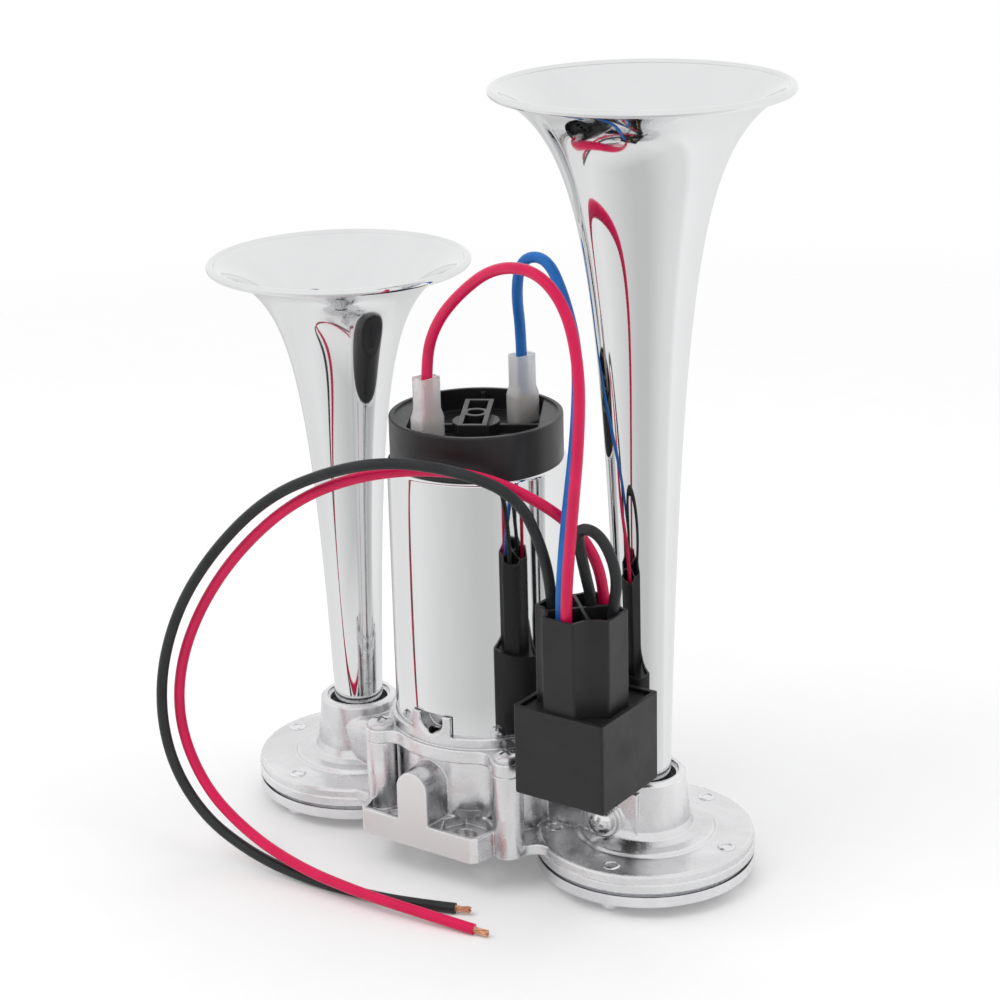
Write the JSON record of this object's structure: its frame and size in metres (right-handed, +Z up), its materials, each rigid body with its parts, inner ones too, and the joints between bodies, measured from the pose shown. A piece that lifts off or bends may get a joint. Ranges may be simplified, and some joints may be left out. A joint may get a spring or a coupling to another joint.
{
  "type": "car air horn",
  "caption": "Twin-trumpet car air horn with flared chrome trumpets on a die-cast base, an electric compressor motor between them and a plug-in relay on coloured leads.",
  "frame": {"origin": "middle of the footprint without the leads and relay, on the surface that the rivet heads stand on", "axes": "+Z up along the trumpets and the motor, +X from the short trumpet to the long one, -Y to the side with the mounting foot"},
  "size_m": [0.1738, 0.1008, 0.217],
  "materials": {
    "die_casting": "bright as-cast",
    "chrome_plate": "polished chrome plating",
    "plated_cover": "bright plated steel",
    "rivet_metal": "satin",
    "screw_steel": "zinc plated",
    "spring_steel": "rolled",
    "gasket_black": "matt",
    "seal_rubber": "matt",
    "black_plastic": "satin moulded",
    "relay_plastic": "matt moulded",
    "sleeve_plastic": "milky, slightly clear",
    "ferrite": "sintered",
    "shaft_steel": "ground",
    "lamination_steel": "stacked sheets",
    "enamelled_copper": "lacquered wire",
    "commutator_copper": "turned",
    "carbon": "pressed carbon",
    "bronze": "sintered",
    "pump_alloy": "machined",
    "liner_iron": "honed",
    "vane_resin": "pressed resin",
    "brass": "stamped",
    "red_insulation": "extruded",
    "blue_insulation": "extruded",
    "black_insulation": "extruded",
    "bare_copper": "stranded"
  },
  "bodies": {
    "horn": {"base_casting": "die_casting", "motor_flange": "die_casting", "flange_screws": "screw_steel", "passage_screw": "screw_steel", "passage_washer": "screw_steel", "long_trumpet": "chrome_plate", "short_trumpet": "chrome_plate", "left_tube_seal": "seal_rubber", "right_tube_seal": "seal_rubber", "left_gasket": "gasket_black", "right_gasket": "gasket_black", "left_diaphragm": "spring_steel", "right_diaphragm": "spring_steel", "left_cover_plate": "plated_cover", "right_cover_plate": "plated_cover", "left_rivets": "rivet_metal", "right_rivets": "rivet_metal", "motor_can": "chrome_plate", "motor_end_cap": "black_plastic", "pump_bush": "bronze", "lower_motor_bush": "bronze", "upper_motor_bush": "bronze", "left_magnet": "ferrite", "right_magnet": "ferrite", "pump_liner": "liner_iron", "front_brush": "carbon", "rear_brush": "carbon", "front_terminal": "brass", "rear_terminal": "brass", "front_receptacle": "brass", "rear_receptacle": "brass", "front_terminal_sleeve": "sleeve_plastic", "rear_terminal_sleeve": "sleeve_plastic", "relay_case": "relay_plastic", "relay_base": "relay_plastic", "relay_blades": "brass", "relay_plug": "relay_plastic", "plug_contacts": "brass", "motor_lead_red": "red_insulation", "motor_lead_blue": "blue_insulation", "power_lead_black": "black_insulation", "power_lead_red": "red_insulation", "jumper_lead": "black_insulation", "black_lead_strands": "bare_copper", "red_lead_strands": "bare_copper"},
    "rotor": {"motor_shaft": "shaft_steel", "armature_core": "lamination_steel", "armature_windings": "enamelled_copper", "commutator": "commutator_copper", "pump_rotor": "pump_alloy", "pump_vanes": "vane_resin"}
  },
  "joints": [
    {"name": "rotor_spin", "type": "hinge", "parent": "horn", "child": "rotor", "pos_m": [-0.00095, -0.0057, 0.06], "axis": [0, 0, 1], "continuous": true}
  ]
}
